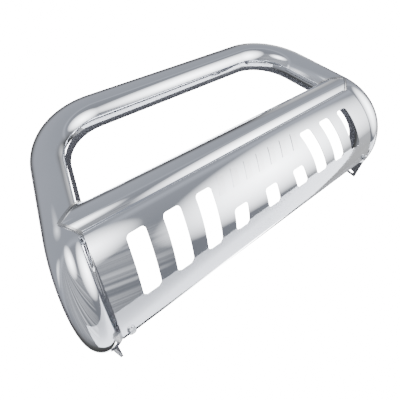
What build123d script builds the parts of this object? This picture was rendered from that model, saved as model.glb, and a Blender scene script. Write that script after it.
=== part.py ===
"""Front grille guard for a truck: a bent tube hoop, a tube between its legs and a slotted skid plate.

Everything is in millimetres. The guard's front faces -Y, +Z is up, and +X is to the right of somebody
who stands in front of the guard and looks at it, which is the vehicle's own left-hand side. The origin
is the middle of the line through the two pivot holes in the mounting tabs, which is the line that the
guard hangs from on a vehicle.
"""

import os
from math import cos, radians, sin, sqrt, tan

from build123d import *

# ---- driving dimensions --------------------------------------------------------------------------

tube_od = 76.2           # 3 inch tube, used for the hoop and for the cross tube
tube_wall = 2.0
hoop_straight = 226.0    # half of the straight top run
hoop_rise = 264.5        # top run above the cross tube, centre to centre
corner_bend_r = 152.4    # centreline radius of the two top corners
leg_splay = 13.2         # degrees that each leg leans outward
foot_bend_r = 158.0      # centreline radius of the backward bend at the foot of each leg
foot_bend_angle = 86.0   # degrees turned by that bend
foot_straight = 11.3     # straight tube left after the bend

sheet_t = 1.5            # skid plate sheet
plate_r = 199.5          # outer radius of the rolled sheet
plate_axis_y = 162.0     # axis that the sheet is rolled around, from the cross tube's axis
plate_axis_z = 6.0
plate_top_angle = 12.5   # degrees below the horizontal where the rolled part begins
plate_low_angle = 79.9
plate_top_half = 384.5   # half widths of the sheet at its upper and lower edges
plate_low_half = 419.5
plate_corner_r = 5.0
lip_bend_r = 5.0         # outer radius of the bend that turns the top edge in to the cross tube
lip_rise = 12.0          # degrees above the horizontal that the lip runs in at
lip_reach = 20.0         # flat part of the lip, before it is cut to fit the cross tube

slot_w = 38.5
slot_top_angle = 23.0
slot_low_angle = 57.0
short_slot_top_angle = 42.8
slot_lean = 10.7         # degrees that the slots lean outward at the bottom
slot_corner_r = 8.0
long_slot_x = (168.5, 244.0, 319.5)    # middles of the long slots, each side of the centre
short_slot_x = 90.5      # middles of the outer short slots, carried up to the level of the long ones

bar_count = 7            # raised trim bars above the short slots
bar_pitch = 38.0
bar_w = 17.0
bar_t = 1.2
bar_top_angle = 20.0
bar_low_angle = 31.0
bar_lean = 20.0
bar_cut_depth = 50.0     # how far the bars' outline is carried each way through the sheet

bolt_x = 398.0           # lower fixing of the skid plate
bolt_angle = 75.3
bolt_d = 8.0
bolt_hole_d = 9.0
bolt_head_af = 13.0
bolt_head_h = 5.3
bolt_nut_h = 6.5
washer_hole_d = 8.4
bolt_length = 20.0
washer_od = 17.0
washer_t = 1.6
lock_washer_od = 12.7
lock_washer_t = 2.0

clip_t = 4.0             # flat tab between leg and skid plate
clip_w = 30.0
clip_inner_x = 380.0
clip_outer_x = 432.0
clip_weld_x = 425.0      # where each clip runs out against its leg
clip_weld_w = 6.0

cap_t = 3.0              # disc that closes the end of each leg
tab_t = 6.0              # mounting tab
tab_h = 70.0
tab_length = 75.0
tab_tilt = 10.0          # degrees that the tab slopes down to the rear
tab_corner_r = 4.0
tab_top = 33.3           # top edge of the tab above the centre of the cap
pivot_d = 11.0           # clearance for an M10 bolt
pivot_from_cap = 22.0
slot_from_cap_y = 59.5   # vertical adjusting slot, behind and below the centre of the cap
slot_below_cap = 22.7
adjust_slot_w = 11.0
adjust_slot_l = 32.0

weld_w = 6.0             # width of a bead across its seam
weld_proud = 1.4
fillet_weld = 4.5        # leg length of a triangular fillet weld
stitch_count = 5
stitch_length = 40.0
stitch_pitch = 175.0
lip_weld_y = -21.5       # corner between the sheet's lip and the cross tube
lip_weld_z = -32.8
mount_weld_length = 58.0
weld_overrun = 1.0       # how far the bead's triangle is carried into the cap before it is trimmed

# ---- values worked out from them -----------------------------------------------------------------

tube_r = tube_od / 2
bore_r = tube_r - tube_wall
lean_x = sin(radians(leg_splay))
lean_z = cos(radians(leg_splay))
leg_down = Vector(lean_x, 0, -lean_z)              # down the right leg
corner_turn = 90.0 - leg_splay
leg_top = Vector(
    hoop_straight + corner_bend_r * sin(radians(corner_turn)),
    0,
    hoop_rise - corner_bend_r * (1 - cos(radians(corner_turn))),
)
leg_length = leg_top.Z / lean_z                    # down to the level of the cross tube
leg_knee = leg_top + leg_down * leg_length
foot_tangent = leg_down * cos(radians(foot_bend_angle)) + Vector(0, sin(radians(foot_bend_angle)), 0)
foot_start = (
    leg_knee
    + leg_down * foot_bend_r * sin(radians(foot_bend_angle))
    + Vector(0, foot_bend_r * (1 - cos(radians(foot_bend_angle))), 0)
)
foot_end = foot_start + foot_tangent * foot_straight

tab_dir = Vector(0, cos(radians(tab_tilt)), -sin(radians(tab_tilt)))
tab_x = foot_end.X
pivot_point = Vector(tab_x, foot_end.Y, foot_end.Z) + tab_dir * pivot_from_cap
origin_shift = Location((0, -pivot_point.Y, -pivot_point.Z))


def roll_plane(angle, x=0.0, radius=plate_r):
    """A plane that touches the rolled sheet: its X along the guard, its Z outward."""
    out = Vector(0, -cos(radians(angle)), -sin(radians(angle)))
    middle = Vector(x, plate_axis_y, plate_axis_z) + out * radius
    return Plane(origin=middle, x_dir=(1, 0, 0), z_dir=out)


def height_on(angle, middle_angle):
    """How far below the middle of a touching plane a point of the sheet lies."""
    return -plate_r * sin(radians(angle - middle_angle))


def finish(builder, name):
    """Move the piece so that the pivot line is the origin, name it and write it."""
    builder.part = builder.part.moved(origin_shift)
    builder.part.label = name
    export_step(builder.part, f"parts/{name}.step")


def both_sides(builder, name):
    """Write a right-hand piece, then its mirror image as the left-hand piece."""
    right = builder.part
    with BuildPart() as twin:
        add(right)
        mirror(about=Plane.YZ, mode=Mode.REPLACE)
    finish(builder, f"{name}_right")
    finish(twin, f"{name}_left")


def tube_section(plane, outer, inner=0.0):
    """A tube's round section, or a solid disc, on the plane across the tube."""
    with BuildSketch(plane) as section:
        Circle(outer)
        if inner:
            Circle(inner, mode=Mode.SUBTRACT)
    return section.sketch


def leg_path(outer, inner=0.0):
    """Right leg from the top corner's end to its foot, joined to the part being built."""
    extrude(tube_section(Plane(origin=leg_top, z_dir=leg_down), outer, inner), amount=leg_length)
    knee_axis = Axis(leg_knee + Vector(0, foot_bend_r, 0), leg_down.cross(Vector(0, 1, 0)))
    revolve(
        tube_section(Plane(origin=leg_knee, z_dir=leg_down), outer, inner),
        axis=knee_axis,
        revolution_arc=foot_bend_angle,
    )
    extrude(tube_section(Plane(origin=foot_start, z_dir=foot_tangent), outer, inner), amount=foot_straight)


os.makedirs("parts", exist_ok=True)

# ---- bodies used to cut others -------------------------------------------------------------------

with BuildPart() as leg_cores:
    leg_path(tube_r)
    mirror(about=Plane.YZ)

with BuildPart() as cross_core:
    extrude(tube_section(Plane.YZ, tube_r), amount=leg_knee.X, both=True)

with BuildPart() as weld_limit:
    leg_path(tube_r + weld_proud)
    extrude(tube_section(Plane.YZ, tube_r + weld_proud), amount=leg_knee.X)

# ---- hoop ----------------------------------------------------------------------------------------

with BuildPart() as hoop_tube:
    top_end = Vector(hoop_straight, 0, hoop_rise)
    top_middle = Plane(origin=(0, 0, hoop_rise), z_dir=(1, 0, 0))
    extrude(tube_section(top_middle, tube_r, bore_r), amount=hoop_straight)
    revolve(
        tube_section(Plane(origin=top_end, z_dir=(1, 0, 0)), tube_r, bore_r),
        axis=Axis(top_end - Vector(0, 0, corner_bend_r), (0, 1, 0)),
        revolution_arc=corner_turn,
    )
    leg_path(tube_r, bore_r)
    mirror(about=Plane.YZ)

# Discs that close the legs, set flush inside the ends of the tube.
with BuildPart() as end_cap:
    cap_plane = Plane(origin=foot_end - foot_tangent * cap_t, z_dir=foot_tangent)
    extrude(tube_section(cap_plane, bore_r), amount=cap_t)
    chamfer(end_cap.faces().sort_by(Axis.Y)[-1].edges(), length=0.8)

# ---- cross tube ----------------------------------------------------------------------------------

with BuildPart() as cross_tube:
    extrude(tube_section(Plane.YZ, tube_r, bore_r), amount=leg_knee.X, both=True)
    add(leg_cores.part, mode=Mode.SUBTRACT)

# ---- skid plate ----------------------------------------------------------------------------------


def roll_point(angle, radius):
    """A point of the rolled sheet's profile, in the plane of Y and Z."""
    return (
        plate_axis_y - radius * cos(radians(angle)),
        plate_axis_z - radius * sin(radians(angle)),
    )


def slot_window(middle_x, top_angle, lean):
    """The outline of a leaning round-cornered slot, drawn on the plane that touches the sheet."""
    middle_angle = (slot_top_angle + slot_low_angle) / 2
    top_y = height_on(top_angle, middle_angle)
    low_y = height_on(slot_low_angle, middle_angle)
    with BuildSketch(roll_plane(middle_angle)) as window:
        with BuildLine():
            Polyline(
                (middle_x - slot_w / 2 - top_y * lean, top_y),
                (middle_x + slot_w / 2 - top_y * lean, top_y),
                (middle_x + slot_w / 2 - low_y * lean, low_y),
                (middle_x - slot_w / 2 - low_y * lean, low_y),
                close=True,
            )
        make_face()
        fillet(window.vertices(), radius=slot_corner_r)
    return window.sketch


slots = [(0.0, short_slot_top_angle, 0.0)]
for side in (1, -1):
    slots.append((side * short_slot_x, short_slot_top_angle, side * tan(radians(slot_lean))))
    for slot_x in long_slot_x:
        slots.append((side * slot_x, slot_top_angle, side * tan(radians(slot_lean))))

with BuildPart() as skid_plate:
    middle_angle = (plate_top_angle + plate_low_angle) / 2
    half_height = height_on(plate_top_angle, middle_angle)
    inner_r = plate_r - sheet_t
    up_sheet = (-sin(radians(plate_top_angle)), cos(radians(plate_top_angle)))
    lip_turn = 90 + plate_top_angle - lip_rise
    # Profile across the guard: the lip's bend, the long roll, and the flat lip in to the cross tube.
    with BuildSketch(Plane.YZ):
        with BuildLine():
            outer_top = roll_point(plate_top_angle, plate_r)
            inner_top = roll_point(plate_top_angle, inner_r)
            outer_low = roll_point(plate_low_angle, plate_r)
            inner_low = roll_point(plate_low_angle, inner_r)
            ThreePointArc(outer_top, roll_point(middle_angle, plate_r), outer_low)
            Line(outer_low, inner_low)
            ThreePointArc(inner_low, roll_point(middle_angle, inner_r), inner_top)
            lip_in = JernArc(inner_top, up_sheet, lip_bend_r - sheet_t, -lip_turn)
            lip_run = Line(lip_in @ 1, lip_in @ 1 + (lip_in % 1) * lip_reach)
            lip_out = JernArc(outer_top, up_sheet, lip_bend_r, -lip_turn)
            lip_back = Line(lip_out @ 1, lip_out @ 1 + (lip_out % 1) * lip_reach)
            Line(lip_run @ 1, lip_back @ 1)
        make_face()
    extrude(amount=plate_low_half + tube_r, both=True)
    # The sheet is wider at its lower edge, like the legs it covers. The outline runs past both edges.
    widening = (plate_low_half - plate_top_half) / (2 * half_height)
    past = plate_corner_r + tube_r
    with BuildSketch(roll_plane(middle_angle)):
        with BuildLine():
            Polyline(
                (-plate_top_half, half_height + past),
                (plate_top_half, half_height + past),
                (plate_top_half, half_height),
                (plate_low_half + past * widening, -half_height - past),
                (-plate_low_half - past * widening, -half_height - past),
                (-plate_top_half, half_height),
                close=True,
            )
        make_face()
    extrude(amount=plate_r, both=True, mode=Mode.INTERSECT)
    low_edge = skid_plate.faces().sort_by(Axis.Y)[-1]
    fillet(low_edge.edges().sort_by(SortBy.LENGTH)[:2], radius=plate_corner_r)
    for slot_x, top_angle, lean in slots:
        extrude(slot_window(slot_x, top_angle, lean), amount=tube_r, both=True, mode=Mode.SUBTRACT)
    with Locations(roll_plane(bolt_angle, bolt_x), roll_plane(bolt_angle, -bolt_x)):
        Hole(bolt_hole_d / 2, depth=tube_od)
    add(cross_core.part, mode=Mode.SUBTRACT)

# Flat bars raised on the sheet above its short slots, all leaning the same way.
with BuildPart() as trim_bars:
    bar_angle = (bar_top_angle + bar_low_angle) / 2
    bar_half = height_on(bar_top_angle, bar_angle)
    bar_shift = bar_half * tan(radians(bar_lean))
    with BuildSketch(roll_plane(bar_angle)):
        for index in range(bar_count):
            bar_x = (index - (bar_count - 1) / 2) * bar_pitch
            with BuildLine():
                Polyline(
                    (bar_x + bar_shift - bar_w / 2, bar_half),
                    (bar_x + bar_shift + bar_w / 2, bar_half),
                    (bar_x - bar_shift + bar_w / 2, -bar_half),
                    (bar_x - bar_shift - bar_w / 2, -bar_half),
                    close=True,
                )
            make_face()
    extrude(amount=bar_cut_depth, both=True)
    with BuildSketch(Plane.YZ):
        with Locations((plate_axis_y, plate_axis_z)):
            Circle(plate_r + bar_t)
            Circle(plate_r, mode=Mode.SUBTRACT)
    extrude(amount=plate_top_half, both=True, mode=Mode.INTERSECT)

# ---- fixing of the skid plate --------------------------------------------------------------------

# Clips reach from behind the sheet's lower corners to the legs and are coped to fit them.
with BuildPart() as plate_clip:
    clip_outer_r = plate_r - sheet_t
    clip_inner_r = clip_outer_r - clip_t
    with BuildSketch(roll_plane(bolt_angle)):
        with Locations(((clip_inner_x + clip_outer_x) / 2, 0)):
            Rectangle(clip_outer_x - clip_inner_x, clip_w)
    extrude(amount=-clip_w)
    with BuildSketch(Plane.YZ):
        with Locations((plate_axis_y, plate_axis_z)):
            Circle(clip_outer_r)
            Circle(clip_inner_r, mode=Mode.SUBTRACT)
    extrude(amount=clip_outer_x * 2, mode=Mode.INTERSECT)
    with Locations(roll_plane(bolt_angle, bolt_x)):
        Hole(bolt_hole_d / 2, depth=tube_od)
    add(leg_cores.part, mode=Mode.SUBTRACT)

# A bead lies in the corner where each clip runs out against its leg.
with BuildPart() as clip_weld:
    with BuildSketch(roll_plane(bolt_angle, clip_weld_x, clip_outer_r - clip_t / 2)):
        Rectangle(clip_weld_w, clip_w)
    extrude(amount=clip_t / 2 + weld_proud)
    add(leg_cores.part, mode=Mode.SUBTRACT)
    add(plate_clip.part, mode=Mode.SUBTRACT)
    add(skid_plate.part, mode=Mode.SUBTRACT)

# The stack of one fixing: head, washer, sheet, clip, washer, lock washer and nut.
back_seat_r = sqrt(clip_inner_r**2 - (washer_od / 2) ** 2)
lock_seat_r = back_seat_r - washer_t
nut_seat_r = lock_seat_r - lock_washer_t
head_seat_r = plate_r + washer_t

with BuildPart() as plate_bolt:
    with BuildSketch(roll_plane(bolt_angle, bolt_x, head_seat_r)):
        RegularPolygon(bolt_head_af / 2, 6, major_radius=False)
    extrude(amount=bolt_head_h)
    with BuildSketch(roll_plane(bolt_angle, bolt_x, head_seat_r)):
        Circle(bolt_d / 2)
    extrude(amount=-bolt_length)
    mirror(about=Plane.YZ)

with BuildPart() as plate_washer:
    with BuildSketch(roll_plane(bolt_angle, bolt_x, plate_r)):
        Circle(washer_od / 2)
        Circle(washer_hole_d / 2, mode=Mode.SUBTRACT)
    extrude(amount=washer_t)
    mirror(about=Plane.YZ)

with BuildPart() as back_washer:
    with BuildSketch(roll_plane(bolt_angle, bolt_x, back_seat_r)):
        Circle(washer_od / 2)
        Circle(washer_hole_d / 2, mode=Mode.SUBTRACT)
    extrude(amount=-washer_t)
    mirror(about=Plane.YZ)

with BuildPart() as lock_washer:
    with BuildSketch(roll_plane(bolt_angle, bolt_x, lock_seat_r)):
        Circle(lock_washer_od / 2)
        Circle(washer_hole_d / 2, mode=Mode.SUBTRACT)
    extrude(amount=-lock_washer_t)
    mirror(about=Plane.YZ)

with BuildPart() as plate_nut:
    with BuildSketch(roll_plane(bolt_angle, bolt_x, nut_seat_r)):
        RegularPolygon(bolt_head_af / 2, 6, major_radius=False)
        Circle(bolt_d / 2, mode=Mode.SUBTRACT)
    extrude(amount=-bolt_nut_h)
    mirror(about=Plane.YZ)

# ---- welds of the cross tube ---------------------------------------------------------------------

# The cross tube's coped ends meet the legs on two flat seams, one above and one below its middle.
with BuildPart() as cross_weld:
    for along_leg in (leg_down * -1, leg_down):
        seam_dir = (along_leg + Vector(-1, 0, 0)).normalized()
        with BuildSketch(Plane(origin=leg_knee, x_dir=(0, 1, 0), z_dir=Vector(0, 1, 0).cross(seam_dir))):
            with Locations((0, tube_r)):
                Rectangle(tube_od + 2 * weld_w, tube_od)
        extrude(amount=weld_w / 2, both=True)
    add(weld_limit.part, mode=Mode.INTERSECT)
    add(leg_cores.part, mode=Mode.SUBTRACT)
    add(cross_core.part, mode=Mode.SUBTRACT)
    add(skid_plate.part, mode=Mode.SUBTRACT)

# Short beads hold the sheet's lip to the underside of the cross tube, out of sight behind it.
with BuildPart() as plate_stitch_welds:
    for index in range(stitch_count):
        stitch_x = (index - (stitch_count - 1) / 2) * stitch_pitch
        with BuildSketch(Plane.YZ.offset(stitch_x)):
            with Locations((lip_weld_y, lip_weld_z)):
                Circle(fillet_weld / 2)
        extrude(amount=stitch_length / 2, both=True)
    add(cross_core.part, mode=Mode.SUBTRACT)
    add(skid_plate.part, mode=Mode.SUBTRACT)

# ---- mounting tabs -------------------------------------------------------------------------------

with BuildPart() as mount_tab:
    drop = tan(radians(tab_tilt))
    tab_plane = Plane(origin=foot_end, x_dir=(0, 1, 0), z_dir=(1, 0, 0))
    with BuildSketch(tab_plane) as tab_shape:
        with BuildLine():
            Polyline(
                (-cap_t, tab_top + cap_t * drop),
                (tab_length, tab_top - tab_length * drop),
                (tab_length - tab_h * drop / 2, tab_top - tab_h - tab_length * drop),
                (-cap_t, tab_top - tab_h + cap_t * drop),
                close=True,
            )
        make_face()
        fillet(tab_shape.vertices().group_by(Axis.Y)[-1], radius=tab_corner_r)
        with Locations((pivot_from_cap * cos(radians(tab_tilt)), -pivot_from_cap * sin(radians(tab_tilt)))):
            Circle(pivot_d / 2, mode=Mode.SUBTRACT)
        with Locations((slot_from_cap_y, -slot_below_cap)):
            SlotOverall(adjust_slot_l, adjust_slot_w, rotation=90, mode=Mode.SUBTRACT)
    extrude(amount=tab_t / 2, both=True)
    add(leg_cores.part, mode=Mode.SUBTRACT)

# A fillet weld runs up each face of the tab, in its corner with the cap.
with BuildPart() as mount_weld:
    cap_down = foot_tangent.cross(Vector(1, 0, 0)).normalized()
    reach = tab_t / 2 + fillet_weld
    with BuildSketch(Plane(origin=foot_end, x_dir=(1, 0, 0), z_dir=cap_down)):
        with BuildLine():
            Polyline((-reach - weld_overrun, weld_overrun), (reach + weld_overrun, weld_overrun),
                     (0, -reach), close=True)
        make_face()
    extrude(amount=mount_weld_length / 2, both=True)
    add(leg_cores.part, mode=Mode.SUBTRACT)
    add(mount_tab.part, mode=Mode.SUBTRACT)

# ---- every piece is moved to the guard's own origin and written ----------------------------------

finish(hoop_tube, "hoop_tube")
finish(cross_tube, "cross_tube")
finish(skid_plate, "skid_plate")
finish(trim_bars, "trim_bars")
finish(plate_stitch_welds, "plate_stitch_welds")
finish(plate_bolt, "plate_bolts")
finish(plate_washer, "plate_washers")
finish(back_washer, "plate_back_washers")
finish(lock_washer, "plate_lock_washers")
finish(plate_nut, "plate_nuts")
both_sides(cross_weld, "cross_weld")
both_sides(end_cap, "end_cap")
both_sides(plate_clip, "plate_clip")
both_sides(clip_weld, "clip_weld")
both_sides(mount_tab, "mount_tab")
both_sides(mount_weld, "mount_weld")
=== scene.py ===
# %% [markdown]
# # Front grille guard
# The guard is a bent steel hoop with a second tube between its legs, a rolled and slotted skid plate
# below that tube, and two slotted tabs that bolt it to a truck. The solid model fixes every size. This
# lesson gives it what the solid model lacks: mirror-smooth tubes and sheet, steel with a real finish,
# studio light and a camera.

from math import cos, pi, radians, sin, tan

import bpy
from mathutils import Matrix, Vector


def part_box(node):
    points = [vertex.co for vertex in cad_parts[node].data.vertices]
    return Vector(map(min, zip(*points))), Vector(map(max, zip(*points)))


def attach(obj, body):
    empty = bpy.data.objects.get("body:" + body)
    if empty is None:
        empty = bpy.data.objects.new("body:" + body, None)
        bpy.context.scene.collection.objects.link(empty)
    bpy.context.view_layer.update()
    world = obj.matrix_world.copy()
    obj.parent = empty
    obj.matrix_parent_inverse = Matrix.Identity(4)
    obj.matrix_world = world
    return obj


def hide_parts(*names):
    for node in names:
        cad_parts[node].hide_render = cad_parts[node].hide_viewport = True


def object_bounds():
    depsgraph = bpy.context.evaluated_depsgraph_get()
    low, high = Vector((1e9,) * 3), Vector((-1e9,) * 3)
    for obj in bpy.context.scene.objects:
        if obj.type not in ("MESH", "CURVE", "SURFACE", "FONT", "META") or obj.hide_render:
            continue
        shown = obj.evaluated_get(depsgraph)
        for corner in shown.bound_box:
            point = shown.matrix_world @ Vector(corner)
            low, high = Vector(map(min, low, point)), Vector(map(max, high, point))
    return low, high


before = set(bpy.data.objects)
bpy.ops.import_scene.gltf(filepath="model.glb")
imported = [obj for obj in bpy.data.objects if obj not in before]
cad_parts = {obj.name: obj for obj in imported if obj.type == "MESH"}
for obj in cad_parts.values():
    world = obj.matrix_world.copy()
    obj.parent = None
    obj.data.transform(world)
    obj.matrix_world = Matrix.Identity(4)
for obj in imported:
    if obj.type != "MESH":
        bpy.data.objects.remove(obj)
cad_low, cad_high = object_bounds()
middle = (cad_low + cad_high) / 2
print("solid model:", len(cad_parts), "pieces,", [round(side, 3) for side in cad_high - cad_low], "m")

# %% [markdown]
# ## Camera
# The guard hangs upright in its own frame, as it does on a truck. The view is a close one, from low in
# front of it and to one side, with a wide lens, so the near leg looks much larger than the far one.
# The camera is also rolled, which lays the guard across the view from corner to corner.

# %% camera
camera_place = (-0.3773, -0.6426, -0.1164)
camera_turn = (116.91, 37.156, -7.59)      # degrees about X, Y and Z
camera_lens = 24.16                        # millimetres, for a sensor 36 mm wide

bpy.ops.object.camera_add(location=camera_place, rotation=[radians(turn) for turn in camera_turn])
camera = bpy.context.object
camera.name = "camera"
camera.data.sensor_width = 36.0
camera.data.lens = camera_lens
bpy.context.scene.camera = camera
print("camera with a", camera_lens, "mm lens")

# %% [markdown]
# ## Helpers for modelling
# Each new piece starts as a primitive, is shaped in edit mode and ends with its place held in its mesh,
# so that its object stands at the world's origin. The solid model leaves its own pieces selected, so
# everything is deselected before a primitive is added.

# %% start and finish a piece
def begin():
    """Leave edit mode and select nothing, ready for a new primitive."""
    if bpy.context.mode != "OBJECT":
        bpy.ops.object.mode_set(mode="OBJECT")
    bpy.ops.object.select_all(action="DESELECT")


def settle(name):
    """Name the primitive just added, and put its place and turn in its mesh."""
    piece = bpy.context.object
    piece.name = name
    piece.data.name = name
    bpy.ops.object.transform_apply(location=True, rotation=True, scale=True)
    return piece


def only(piece):
    """Make one piece the only one selected, and active."""
    begin()
    piece.select_set(True)
    bpy.context.view_layer.objects.active = piece


def apply(piece, kind, **settings):
    """Add a modifier with these settings to a piece, and apply it."""
    only(piece)
    modifier = piece.modifiers.new(kind.lower(), kind)
    for setting, value in settings.items():
        setattr(modifier, setting, value)
    bpy.ops.object.modifier_apply(modifier=modifier.name)


def tidy(piece, corner=30):
    """Merge doubles, turn the faces outward and shade smooth where no corner is sharper than this."""
    only(piece)
    bpy.ops.object.mode_set(mode="EDIT")
    bpy.ops.mesh.select_all(action="SELECT")
    bpy.ops.mesh.remove_doubles(threshold=0.00001)
    bpy.ops.mesh.normals_make_consistent(inside=False)
    bpy.ops.object.mode_set(mode="OBJECT")
    bpy.ops.object.shade_smooth_by_angle(angle=radians(corner))
    print(piece.name, "has", len(piece.data.polygons), "faces")

# %% [markdown]
# ## Hoop
# A tube bender makes the hoop from one straight tube, and spin is the same act: the ring of edges at the
# tube's end is swept round the bend's axis. Half the hoop is drawn out from the middle of the top run,
# down the leg and round the foot, then mirrored. The wall comes last, as a thickness set inward. The
# solid model's own tube is made of coarse facets, which a mirror finish would show as kinks.

# %% measures of the tubes
cross_low, cross_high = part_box("cross_tube")
hoop_low, hoop_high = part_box("hoop_tube")
tube_r = (cross_high.z - cross_low.z) / 2
tube_wall = 0.002
axis_y = (cross_low.y + cross_high.y) / 2
axis_z = (cross_low.z + cross_high.z) / 2
hoop_z = hoop_high.z - tube_r
hoop_straight = 0.226         # half of the straight top run
corner_bend_r = 0.1524
leg_splay = radians(13.2)
foot_bend_r = 0.158
foot_bend_angle = radians(86)
foot_straight = 0.0113
ring_edges = 96               # faces round a tube
corner_steps = 28             # faces along each bend
foot_steps = 32
print("tube radius", round(tube_r, 4), "and hoop height", round(hoop_z - axis_z, 4))

# %% the line that the hoop follows
leg_down = Vector((sin(leg_splay), 0, -cos(leg_splay)))
corner_turn = pi / 2 - leg_splay
leg_top = Vector((
    hoop_straight + corner_bend_r * sin(corner_turn),
    axis_y,
    hoop_z - corner_bend_r * (1 - cos(corner_turn)),
))
leg_length = (leg_top.z - axis_z) / cos(leg_splay)
knee = leg_top + leg_down * leg_length
knee_axis = leg_down.cross(Vector((0, 1, 0)))
foot_tangent = leg_down * cos(foot_bend_angle) + Vector((0, sin(foot_bend_angle), 0))
print("each leg is", round(leg_length, 3), "m long down to the cross tube")


# %% bend half the hoop, then mirror it
def draw_out(step):
    """Extrude what is selected by this much."""
    bpy.ops.mesh.extrude_region_move(TRANSFORM_OT_translate={"value": step})


begin()
bpy.ops.mesh.primitive_circle_add(
    vertices=ring_edges, radius=tube_r, location=(0, axis_y, hoop_z), rotation=(0, pi / 2, 0))
hoop = settle("hoop")
bpy.ops.object.mode_set(mode="EDIT")
bpy.ops.mesh.select_all(action="SELECT")
draw_out((hoop_straight, 0, 0))
bpy.ops.mesh.spin(
    steps=corner_steps, angle=-corner_turn, center=(hoop_straight, axis_y, hoop_z - corner_bend_r),
    axis=(0, 1, 0))
draw_out(leg_down * leg_length)
bpy.ops.mesh.spin(
    steps=foot_steps, angle=-foot_bend_angle, center=knee + Vector((0, foot_bend_r, 0)),
    axis=knee_axis)
draw_out(foot_tangent * foot_straight)
bpy.ops.object.mode_set(mode="OBJECT")
apply(hoop, "MIRROR", use_axis=(True, False, False), use_clip=True)
tidy(hoop)

# %% [markdown]
# The cross tube's ends are coped, which means cut to sit on the legs. A fitter uses a hole saw of the
# leg's size. Here a copy of the hoop is closed into a solid bar first and kept as that saw, and then
# the hoop gets its wall.

# %% a solid copy for coping, then the hoop's wall
only(hoop)
bpy.ops.object.duplicate()
coping_bar = bpy.context.object
coping_bar.name = "coping_bar"
bpy.ops.object.mode_set(mode="EDIT")
bpy.ops.mesh.select_all(action="SELECT")
bpy.ops.mesh.fill_holes(sides=0)
bpy.ops.object.mode_set(mode="OBJECT")
apply(hoop, "SOLIDIFY", thickness=tube_wall, offset=-1)
tidy(hoop)
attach(hoop, "root")
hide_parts("hoop_tube")

# %% [markdown]
# ## Cross tube
# The cross tube is an open cylinder with the same wall. Its ends run past the legs' middles, and the
# boolean modifier takes the coping bar's shape out of them.

# %% cope the cross tube
begin()
bpy.ops.mesh.primitive_cylinder_add(
    vertices=ring_edges, radius=tube_r, depth=2 * knee.x, end_fill_type="NOTHING",
    location=(0, axis_y, axis_z), rotation=(0, pi / 2, 0))
cross_bar = settle("cross_bar")
tidy(cross_bar)
apply(cross_bar, "SOLIDIFY", thickness=tube_wall, offset=-1)
apply(cross_bar, "BOOLEAN", object=coping_bar, operation="DIFFERENCE", solver="EXACT")
tidy(cross_bar)
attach(cross_bar, "root")
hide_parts("cross_tube")
bpy.data.objects.remove(coping_bar)

# %% [markdown]
# ## Skid plate
# The real plate is cut flat from sheet, with its slots, then rolled, and its top edge is folded in to the
# cross tube. Bending a slotted mesh would stretch its slots, so here the roll comes first:
# one long edge is spun round the roll's axis, then round the small fold, and drawn out into the tube.
# The many even faces keep its reflections smooth.

# %% measures of the skid plate
roll_y = axis_y + 0.162
roll_z = axis_z + 0.006
plate_r = 0.1995
sheet_t = 0.0015
plate_top_angle = 12.5        # degrees below the horizontal
plate_low_angle = 79.9
plate_top_half = 0.3845
plate_low_half = 0.4195
lip_bend_r = 0.005
lip_rise = 12.0               # degrees above the horizontal
lip_length = 0.0063
columns = 150                 # faces along the sheet
roll_steps = 72               # faces round its roll
lip_steps = 10


def outward(angle):
    """The direction from the roll's axis through the sheet at this many degrees below the horizontal."""
    return Vector((0, -cos(radians(angle)), -sin(radians(angle))))


def up_sheet(angle):
    """The direction up the face of the sheet at this angle."""
    return Vector((0, -sin(radians(angle)), cos(radians(angle))))


def on_sheet(angle, x=0.0, radius=plate_r):
    """A point of the sheet at this angle, or of another radius about the same axis."""
    return Vector((x, roll_y, roll_z)) + outward(angle) * radius


roll_length = radians(plate_low_angle - plate_top_angle) * plate_r
print("the sheet is", round(roll_length, 3), "m long round its roll")


# %% pick part of a piece
def pick(piece, wanted):
    """Select the corners of a piece whose places are wanted, and go to edit mode."""
    only(piece)
    bpy.ops.object.mode_set(mode="EDIT")
    bpy.ops.mesh.select_mode(type="VERT")
    bpy.ops.mesh.select_all(action="DESELECT")
    bpy.ops.object.mode_set(mode="OBJECT")
    for corner in piece.data.vertices:
        corner.select = bool(wanted(corner.co))
    bpy.ops.object.mode_set(mode="EDIT")


# %% roll the sheet
strip = 0.01                  # width of the strip that gives the sheet its first edge
spare_ends = 1.05             # the sheet starts a little too long, and is trimmed next
low_edge = on_sheet(plate_low_angle)
begin()
bpy.ops.mesh.primitive_grid_add(x_subdivisions=columns, y_subdivisions=1, size=1)
skid_plate = bpy.context.object
skid_plate.scale = (2 * spare_ends * plate_low_half, strip, 1)
skid_plate.location = low_edge + Vector((0, strip / 2, 0))
settle("rolled_skid_plate")
pick(skid_plate, lambda place: place.y > low_edge.y + strip / 2)
bpy.ops.mesh.delete(type="VERT")
bpy.ops.mesh.select_all(action="SELECT")
bpy.ops.mesh.spin(
    steps=roll_steps, angle=radians(plate_low_angle - plate_top_angle), center=(0, roll_y, roll_z),
    axis=(1, 0, 0))
bpy.ops.mesh.spin(
    steps=lip_steps, angle=radians(90 + plate_top_angle - lip_rise),
    center=on_sheet(plate_top_angle, 0, plate_r - lip_bend_r), axis=(1, 0, 0))
draw_out((0, lip_length * cos(radians(lip_rise)), lip_length * sin(radians(lip_rise))))

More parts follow.
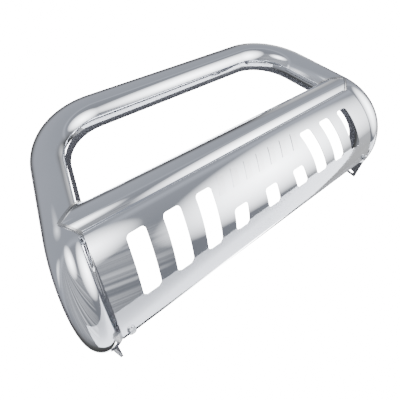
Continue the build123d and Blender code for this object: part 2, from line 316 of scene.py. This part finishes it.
# %% trim its two ends, which lean outward with the legs
trim_angle = (plate_top_angle + plate_low_angle) / 2
sheet_height = 2 * plate_r * sin(radians(plate_low_angle - trim_angle))
for side in (1, -1):
    edge_line = Vector((side * (plate_low_half - plate_top_half), 0, 0)) - up_sheet(trim_angle) * sheet_height
    end_normal = outward(trim_angle).cross(edge_line) * side
    if end_normal.x * side < 0:
        end_normal = -end_normal
    bpy.ops.mesh.select_all(action="SELECT")
    bpy.ops.mesh.bisect(
        plane_co=on_sheet(plate_low_angle, side * plate_low_half), plane_no=end_normal, clear_outer=True)
bpy.ops.object.mode_set(mode="OBJECT")
tidy(skid_plate)
lowest = min(skid_plate.data.polygons, key=lambda face: face.center.z)
if lowest.normal.z > 0:
    only(skid_plate)
    bpy.ops.object.mode_set(mode="EDIT")
    bpy.ops.mesh.select_all(action="SELECT")
    bpy.ops.mesh.flip_normals()
    bpy.ops.object.mode_set(mode="OBJECT")
apply(skid_plate, "SOLIDIFY", thickness=sheet_t, offset=-1)
tidy(skid_plate)

# %% [markdown]
# Each slot is punched by a cutter with the slot's outline: a leaning four-sided face with rounded
# corners, drawn on the plane that touches the sheet at the slots' middle, and drawn out through it.
# The two lower bolt holes are punched with them, by plain cylinders.

# %% measures of the slots
slot_w = 0.0385
slot_top_angle = 23.0
slot_low_angle = 57.0
short_slot_top_angle = 42.8
slot_lean = tan(radians(10.7))
slot_corner_r = 0.008
slot_corner_steps = 8
long_slot_x = (0.1685, 0.244, 0.3195)
short_slot_x = 0.0905
slot_middle_angle = (slot_top_angle + slot_low_angle) / 2
punch_depth = 0.06            # each way from the sheet
bolt_x = 0.398
bolt_angle = 75.3
bolt_hole_r = 0.0045
bolt_hole_edges = 48


def slot_punch(x, top_angle, lean):
    """A cutter for one slot, whose middle line crosses the touching plane's middle at x."""
    top = plate_r * sin(radians(slot_middle_angle - top_angle))
    low = plate_r * sin(radians(slot_middle_angle - slot_low_angle))
    up = up_sheet(slot_middle_angle)
    place = on_sheet(slot_middle_angle, x - lean * (top + low) / 2) + up * (top + low) / 2
    begin()
    bpy.ops.mesh.primitive_plane_add(size=1, location=place, rotation=(radians(90 + slot_middle_angle), 0, 0))
    bpy.context.object.scale = (slot_w, top - low, 1)
    punch = settle("slot_punch")
    for half in (1, -1):
        pick(punch, lambda corner: (corner - place).dot(up) * half > 0)
        bpy.ops.transform.translate(value=(-half * lean * (top - low) / 2, 0, 0))
    bpy.ops.mesh.select_all(action="SELECT")
    bpy.ops.mesh.bevel(offset=slot_corner_r, segments=slot_corner_steps, affect="VERTICES")
    bpy.ops.transform.translate(value=outward(slot_middle_angle) * -punch_depth)
    draw_out(outward(slot_middle_angle) * 2 * punch_depth)
    bpy.ops.mesh.select_all(action="SELECT")
    bpy.ops.mesh.normals_make_consistent(inside=False)
    bpy.ops.object.mode_set(mode="OBJECT")
    return punch


def bolt_punch(x):
    """A round cutter for the hole of a lower bolt."""
    begin()
    bpy.ops.mesh.primitive_cylinder_add(
        vertices=bolt_hole_edges, radius=bolt_hole_r, depth=2 * punch_depth,
        location=on_sheet(bolt_angle, x), rotation=(radians(90 + bolt_angle), 0, 0))
    return settle("bolt_punch")


# %% punch the slots and the bolt holes
punches = [slot_punch(0, short_slot_top_angle, 0)]
for side in (1, -1):
    punches.append(slot_punch(side * short_slot_x, short_slot_top_angle, side * slot_lean))
    for slot_x in long_slot_x:
        punches.append(slot_punch(side * slot_x, slot_top_angle, side * slot_lean))
    punches.append(bolt_punch(side * bolt_x))
punched = len(punches)
only(punches[0])
for punch in punches:
    punch.select_set(True)
bpy.ops.object.join()
apply(skid_plate, "BOOLEAN", object=punches[0], operation="DIFFERENCE", solver="EXACT")
bpy.data.objects.remove(punches[0])
tidy(skid_plate)
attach(skid_plate, "root")
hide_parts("skid_plate")
print("openings punched:", punched)

# %% [markdown]
# ## Finishes
# Stainless tube is polished to a mirror on a buffing wheel. The wheel leaves two things that keep it from
# looking like glass: hair-fine lines that run with the wheel, and a faint waviness. Both are made here
# from noise in object coordinates, stretched along one axis, that feeds roughness and bump.

# %% a helper for steel finishes
def add_node(tree, kind, **inputs):
    """Add a shader node and set its inputs by name."""
    node = tree.nodes.new(kind)
    for name, value in inputs.items():
        node.inputs[name.replace("_", " ")].default_value = value
    return node


wave_scale = 14.0             # noise repeats per metre, about
smudge_scale = 5.0
line_height = 0.0002          # metres, at full depth
wave_height = 0.001


def steel(name, colour, dull, bright, rough_low, rough_high, stretch, line_scale, line_depth, wave_depth):
    """Bare steel: fine lines of noise stretched along an axis, over a broad faint waviness."""
    finish = bpy.data.materials.new(name)
    finish.use_nodes = True
    tree = finish.node_tree
    surface = tree.nodes["Principled BSDF"]
    surface.inputs["Metallic"].default_value = 1.0
    place = tree.nodes.new("ShaderNodeTexCoord")
    along = add_node(tree, "ShaderNodeMapping", Scale=stretch)
    tree.links.new(place.outputs["Object"], along.inputs["Vector"])
    lines = add_node(tree, "ShaderNodeTexNoise", Scale=line_scale, Detail=4.0, Roughness=0.6)
    tree.links.new(along.outputs["Vector"], lines.inputs["Vector"])
    waves = add_node(tree, "ShaderNodeTexNoise", Scale=wave_scale, Detail=2.0)
    tree.links.new(place.outputs["Object"], waves.inputs["Vector"])
    smudge = add_node(tree, "ShaderNodeTexNoise", Scale=smudge_scale, Detail=5.0, Roughness=0.65)
    tree.links.new(place.outputs["Object"], smudge.inputs["Vector"])
    tone = tree.nodes.new("ShaderNodeValToRGB")
    tone.color_ramp.elements[0].position = 0.3
    tone.color_ramp.elements[0].color = (*[part * dull for part in colour], 1)
    tone.color_ramp.elements[1].position = 0.7
    tone.color_ramp.elements[1].color = (*[part * bright for part in colour], 1)
    tree.links.new(smudge.outputs["Fac"], tone.inputs["Fac"])
    tree.links.new(tone.outputs["Color"], surface.inputs["Base Color"])
    gloss = add_node(tree, "ShaderNodeMapRange", To_Min=rough_low, To_Max=rough_high)
    tree.links.new(lines.outputs["Fac"], gloss.inputs["Value"])
    tree.links.new(gloss.outputs["Result"], surface.inputs["Roughness"])
    fine = add_node(tree, "ShaderNodeBump", Strength=line_depth, Distance=line_height)
    broad = add_node(tree, "ShaderNodeBump", Strength=wave_depth, Distance=wave_height)
    tree.links.new(waves.outputs["Fac"], broad.inputs["Height"])
    tree.links.new(lines.outputs["Fac"], fine.inputs["Height"])
    tree.links.new(broad.outputs["Normal"], fine.inputs["Normal"])
    tree.links.new(fine.outputs["Normal"], surface.inputs["Normal"])
    print("finish:", name)
    return finish


# %% [markdown]
# The tubes and the sheet are polished to a mirror; along the sheet the lines run lengthwise, as it was
# rolled. The tabs and clips are ground and left satin. The beads are brushed clean, so they are the
# roughest, and the fasteners are bright but not polished. The bars on the sheet keep a faint grain.

# %% the finishes
polished = (0.83, 0.85, 0.89)
even = (1.0, 1.0, 1.0)
mirror_steel = steel("mirror_steel", polished, 0.96, 1.0, 0.03, 0.08, even, 90.0, 0.03, 0.03)
mirror_sheet = steel("mirror_sheet", polished, 0.96, 1.0, 0.03, 0.08, (0.15, 1.0, 1.0), 160.0, 0.05, 0.02)
satin_steel = steel("satin_steel", (0.45, 0.46, 0.48), 0.8, 1.0, 0.25, 0.45, (1.0, 1.0, 8.0), 120.0, 0.3, 0.1)
bead_steel = steel("bead_steel", (0.60, 0.60, 0.60), 0.8, 1.0, 0.18, 0.35, even, 260.0, 0.6, 0.5)
bolt_steel = steel("bolt_steel", (0.66, 0.67, 0.69), 0.85, 1.0, 0.15, 0.3, even, 200.0, 0.2, 0.1)
bar_steel = steel("bar_steel", (0.80, 0.81, 0.84), 0.95, 1.0, 0.06, 0.14, (1.0, 6.0, 1.0), 120.0, 0.15, 0.02)


# %% coat every piece
def coat(piece, finish):
    """Give the piece this finish and no other."""
    piece.data.materials.clear()
    piece.data.materials.append(finish)


for piece in (hoop, cross_bar):
    coat(piece, mirror_steel)
coat(skid_plate, mirror_sheet)
for name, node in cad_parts.items():
    if name in ("hoop_tube", "cross_tube", "skid_plate"):
        coat(node, mirror_steel)
    elif "weld" in name:
        coat(node, bead_steel)
    elif name == "trim_bars":
        coat(node, bar_steel)
    elif name.startswith(("mount_tab", "plate_clip", "end_cap")):
        coat(node, satin_steel)
    else:
        coat(node, bolt_steel)
print("pieces coated:", len(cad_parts))

# %% [markdown]
# ## Studio
# Polished steel has almost no colour of its own: it shows the room around it. A studio for such work has
# white paper behind the guard and dark cloth just outside the view, so that every tube gets a dark edge
# against the white. Here the world does the same with three blends over directions: a grey room that
# brightens with height and has a pale band at the horizon, dark cloth around the line of sight, and
# white paper in the middle of it. A world costs nothing to build, and has no edges to show in the steel.

# %% the room
room = bpy.data.worlds.new("studio")
room.use_nodes = True
bpy.context.scene.world = room
room_tree = room.node_tree
room_tree.nodes.clear()
way = room_tree.nodes.new("ShaderNodeTexCoord")


def blend_by(direction, stops, tint=(1.0, 1.0, 1.0)):
    """A colour that changes with how far the line of sight leans towards a direction."""
    lean = room_tree.nodes.new("ShaderNodeVectorMath")
    lean.operation = "DOT_PRODUCT"
    lean.inputs[1].default_value = direction
    room_tree.links.new(way.outputs["Generated"], lean.inputs[0])
    spread = add_node(room_tree, "ShaderNodeMapRange", From_Min=-1.0, From_Max=1.0)
    room_tree.links.new(lean.outputs["Value"], spread.inputs["Value"])
    ramp = room_tree.nodes.new("ShaderNodeValToRGB")
    while len(ramp.color_ramp.elements) < len(stops):
        ramp.color_ramp.elements.new(0.5)
    for element, (at, level) in zip(ramp.color_ramp.elements, stops):
        element.position = (at + 1) / 2
        element.color = (*[level * part for part in tint], 1)
    room_tree.links.new(spread.outputs["Result"], ramp.inputs["Fac"])
    return ramp


look = bpy.context.scene.camera.rotation_euler.to_matrix() @ Vector((0, 0, -1))
daylight = (0.955, 1.0, 1.11)      # the grey room is a little blue
by_height = blend_by((0, 0, 1), ((-1.0, 0.24), (-0.85, 0.28), (-0.5, 0.32), (-0.08, 0.39),
                                 (0.0, 0.60), (0.1, 0.45), (0.5, 0.47), (1.0, 0.52)), daylight)
paper = blend_by(look, ((0.0, 0.34), (0.3, 0.13), (0.5, 0.06), (0.58, 0.08), (0.645, 18.0)))
behind = blend_by(look, ((-0.05, 0.0), (0.3, 1.0)))
join = room_tree.nodes.new("ShaderNodeMix")
join.data_type = "RGBA"
glow = room_tree.nodes.new("ShaderNodeBackground")
room_out = room_tree.nodes.new("ShaderNodeOutputWorld")
room_tree.links.new(behind.outputs["Color"], join.inputs["Factor"])
room_tree.links.new(by_height.outputs["Color"], join.inputs["A"])
room_tree.links.new(paper.outputs["Color"], join.inputs["B"])
room_tree.links.new(join.outputs["Result"], glow.inputs["Color"])
room_tree.links.new(glow.outputs["Background"], room_out.inputs["Surface"])
print("line of sight of the camera:", [round(part, 2) for part in look])

# %% [markdown]
# ## Soft boxes
# A big soft box low on the right gives the broad white flare on the plate, and a smaller one on the left
# gives the highlights on the bends. Each is a panel that glows from its middle outward, with no hard edge,
# because a hard edge would show in the steel. One panel is pleated cloth: its folds fan out from near its
# top and leave the fine streaks. The panels are part of the stage, and out of sight.

# %% helpers for panels
def face_guard(name, azimuth, elevation, distance, width, tall):
    """A panel that faces the guard. Azimuth 0 is straight in front and rises to the right."""
    toward = Vector((sin(radians(azimuth)) * cos(radians(elevation)),
                     -cos(radians(azimuth)) * cos(radians(elevation)),
                     sin(radians(elevation))))
    begin()
    bpy.ops.mesh.primitive_plane_add(size=2, location=middle + toward * distance)
    panel = bpy.context.object
    panel.name = name
    panel.scale = (width / 2, tall / 2, 1)
    panel.rotation_euler = (-toward).to_track_quat("Z", "Y").to_euler()
    panel.visible_camera = False
    return panel


def maths(tree, operation, first, second):
    """A maths node whose inputs are sockets or numbers."""
    node = tree.nodes.new("ShaderNodeMath")
    node.operation = operation
    for socket, value in zip(node.inputs, (first, second)):
        if isinstance(value, (int, float)):
            socket.default_value = value
        else:
            tree.links.new(value, socket)
    return node.outputs["Value"]


fold_x = -0.25                # where the pleats meet, in half widths and half heights of the panel
fold_y = 0.9


def soft_glow(name, strength, softness, folds):
    """A clear film that glows in its middle. With folds, the glow is broken by pleats."""
    film = bpy.data.materials.new(name)
    film.use_nodes = True
    tree = film.node_tree
    tree.nodes.clear()
    place = tree.nodes.new("ShaderNodeTexCoord")
    ball = tree.nodes.new("ShaderNodeTexGradient")
    ball.gradient_type = "SPHERICAL"
    tree.links.new(place.outputs["Object"], ball.inputs["Vector"])
    power = maths(tree, "MULTIPLY", maths(tree, "POWER", ball.outputs["Fac"], softness), strength)
    if folds:
        spot = tree.nodes.new("ShaderNodeSeparateXYZ")
        tree.links.new(place.outputs["Object"], spot.inputs["Vector"])
        aside = maths(tree, "ADD", spot.outputs["X"], -fold_x)
        below = maths(tree, "SUBTRACT", spot.outputs["Y"], fold_y)
        pleat = add_node(tree, "ShaderNodeTexNoise", Scale=folds, Detail=3.0, Roughness=0.6)
        pleat.noise_dimensions = "1D"
        tree.links.new(maths(tree, "ARCTAN2", aside, below), pleat.inputs["W"])
        depth = add_node(tree, "ShaderNodeMapRange", From_Min=0.4, From_Max=0.65)
        tree.links.new(pleat.outputs["Fac"], depth.inputs["Value"])
        power = maths(tree, "MULTIPLY", power, depth.outputs["Result"])
    lit = tree.nodes.new("ShaderNodeEmission")
    clear = tree.nodes.new("ShaderNodeBsdfTransparent")
    both = tree.nodes.new("ShaderNodeAddShader")
    out = tree.nodes.new("ShaderNodeOutputMaterial")
    tree.links.new(power, lit.inputs["Strength"])
    tree.links.new(lit.outputs["Emission"], both.inputs[0])
    tree.links.new(clear.outputs["BSDF"], both.inputs[1])
    tree.links.new(both.outputs["Shader"], out.inputs["Surface"])
    return film


# %% hang the panels
soft_boxes = (      # name, azimuth, elevation, width, height, strength, softness, folds
    ("key_box", 46, -38, 2.2, 2.2, 8.0, 1.0, 0.0),
    ("fill_box", -20, -17, 1.1, 1.1, 7.0, 1.1, 0.0),
    ("upper_box", -33, 22, 1.0, 0.6, 1.3, 1.2, 0.0),
    ("strip_box", -74, 1, 1.3, 0.22, 1.6, 1.0, 0.0),
    ("side_box", 75, 30, 1.0, 1.0, 0.9, 1.0, 0.0),
    ("right_box", 106, -30, 2.2, 1.4, 0.6, 0.7, 0.0),
    ("cloth_box", -58, -44, 4.4, 3.4, 0.75, 0.6, 16.0),
)
box_distance = 1.6
for name, azimuth, elevation, width, tall, strength, softness, folds in soft_boxes:
    panel = face_guard(name, azimuth, elevation, box_distance, width, tall)
    coat(panel, soft_glow(name + "_glow", strength, softness, folds))
print("soft boxes:", len(soft_boxes))


# %% helper for plain surfaces of the stage
def plain(name, colour, roughness):
    """A plain dull surface."""
    surface = bpy.data.materials.new(name)
    surface.use_nodes = True
    paint = surface.node_tree.nodes["Principled BSDF"]
    paint.inputs["Base Color"].default_value = (*colour, 1)
    paint.inputs["Roughness"].default_value = roughness
    return surface


# %% [markdown]
# ## Cards and floor
# A narrow dark card on the left draws the dark line down the bends. A wide one behind the guard keeps the
# white paper out of the surfaces that face the rear, so that the tubes have dark edges underneath and the
# gap beside the plate reads as a gap. The guard hangs, so the floor is well below it. It is a pale sheet
# behind the guard, and shows as the pale strip along the plate's lower edge.

# %% dark cards
card_cloth = plain("card_cloth", (0.12, 0.12, 0.13), 0.9)
side_card = face_guard("side_card", -117, 25, 1.8, 0.36, 2.0)
back_card = face_guard("back_card", 157, 11, 1.2, 2.8, 2.5)
for card in (side_card, back_card):
    coat(card, card_cloth)
    print(card.name, "at", [round(part, 2) for part in card.location])

# %% the floor
floor_z = -1.7                # the guard hangs this far above it
begin()
bpy.ops.mesh.primitive_plane_add(size=1, location=(0.35, 1.2, floor_z))
floor = bpy.context.object
floor.name = "floor"
floor.scale = (4.5, 2.2, 1)
coat(floor, plain("pale_floor", (0.47, 0.48, 0.51), 0.8))
print("floor at", floor_z)
